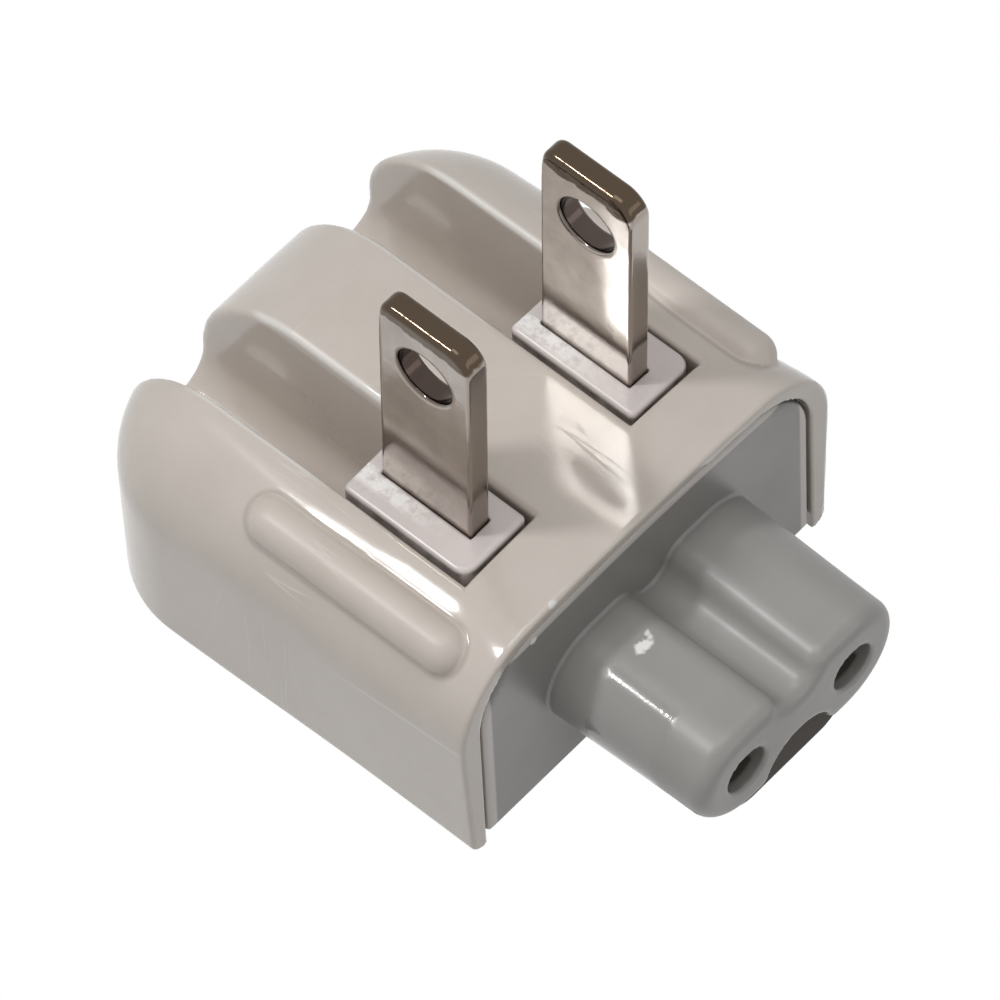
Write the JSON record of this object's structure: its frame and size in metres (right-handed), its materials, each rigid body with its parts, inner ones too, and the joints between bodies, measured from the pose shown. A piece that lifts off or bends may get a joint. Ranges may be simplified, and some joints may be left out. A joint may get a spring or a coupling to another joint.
{
  "type": "folding wall plug head",
  "caption": "Detachable wall plug head: flat blades on a pivoting carrier fold into grooves in a rounded casing, and a two-hole connector joins it to a power supply.",
  "frame": {"origin": "centre of the outlet face, midway between the blades, at the crest of the crowned top", "axes": "+Z along the blades towards the outlet, +X from the left blade to the right one, and the connector points along -Y"},
  "size_m": [0.0296, 0.0401, 0.0335],
  "materials": {
    "white_casing": "glossy, scuffed",
    "white_carrier": "satin",
    "grey_moulding": "semi-gloss",
    "nickel_blade": "nickel plate, worn",
    "inner_moulding": "matt",
    "insulator": "fish paper",
    "spring_steel": "bright",
    "screw_steel": "zinc plate",
    "contact_brass": "bright"
  },
  "bodies": {
    "housing": {"outer_shell": "white_casing", "connector_base": "grey_moulding", "pivot_cradle": "inner_moulding", "detent_spring": "spring_steel", "detent_rivet": "spring_steel", "cradle_screw_front": "screw_steel", "cradle_screw_rear": "screw_steel", "socket_contact_left": "contact_brass", "socket_contact_right": "contact_brass", "bus_strip_left": "contact_brass", "bus_strip_right": "contact_brass", "wiper_spring_left": "contact_brass", "wiper_spring_right": "contact_brass", "contact_rivet_left": "contact_brass", "contact_rivet_right": "contact_brass", "stud_clip": "spring_steel", "insulator_card": "insulator"},
    "blades": {"blade_carrier": "white_carrier", "blade_left": "nickel_blade", "blade_right": "nickel_blade"}
  },
  "joints": [
    {"name": "blade_fold", "type": "hinge", "parent": "housing", "child": "blades", "pos_m": [0, -0.0012, -0.0033], "axis": [-1, 0, 0], "range_deg": [0, 90]}
  ]
}
